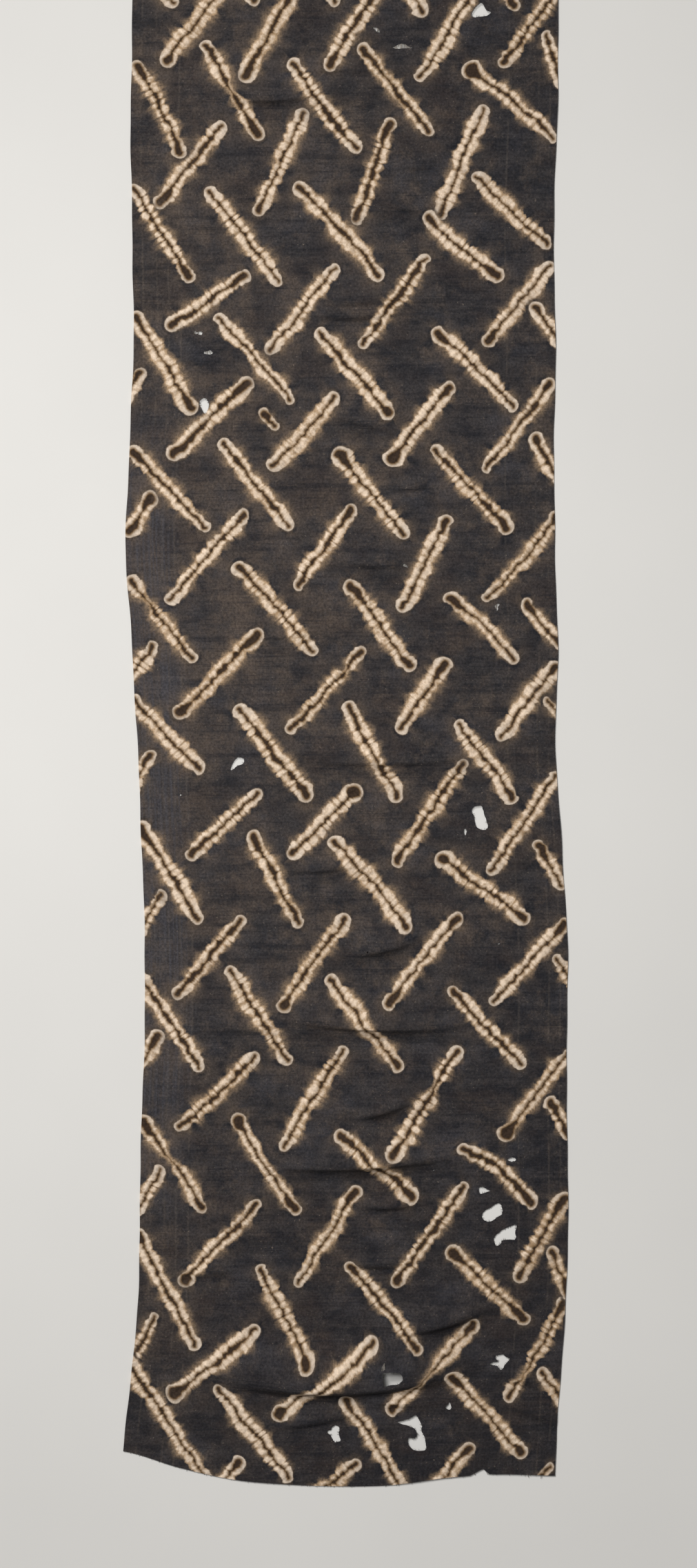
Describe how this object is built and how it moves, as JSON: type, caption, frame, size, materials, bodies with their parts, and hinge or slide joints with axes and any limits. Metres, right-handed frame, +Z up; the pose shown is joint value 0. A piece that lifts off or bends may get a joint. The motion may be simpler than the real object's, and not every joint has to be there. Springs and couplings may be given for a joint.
{
  "type": "stitch-resist dyed kuba cloth",
  "caption": "Long narrow strip of plain-woven kuba cloth, dyed dark brown with courses of slanting stitch-resist dashes, worn through in places and lying face up in soft cross folds.",
  "frame": {"origin": "middle of the cloth's outline, on the surface it lies on", "axes": "+X across the cloth, +Y along it from the worn end to the plain end, +Z up out of the dyed face"},
  "size_m": [0.6202, 2.19, 0.0158],
  "materials": {
    "cloth": "matt plain weave, dark brown with cream and tan stitch-resist dashes"
  },
  "bodies": {
    "root": {"cloth": "cloth"}
  },
  "joints": []
}
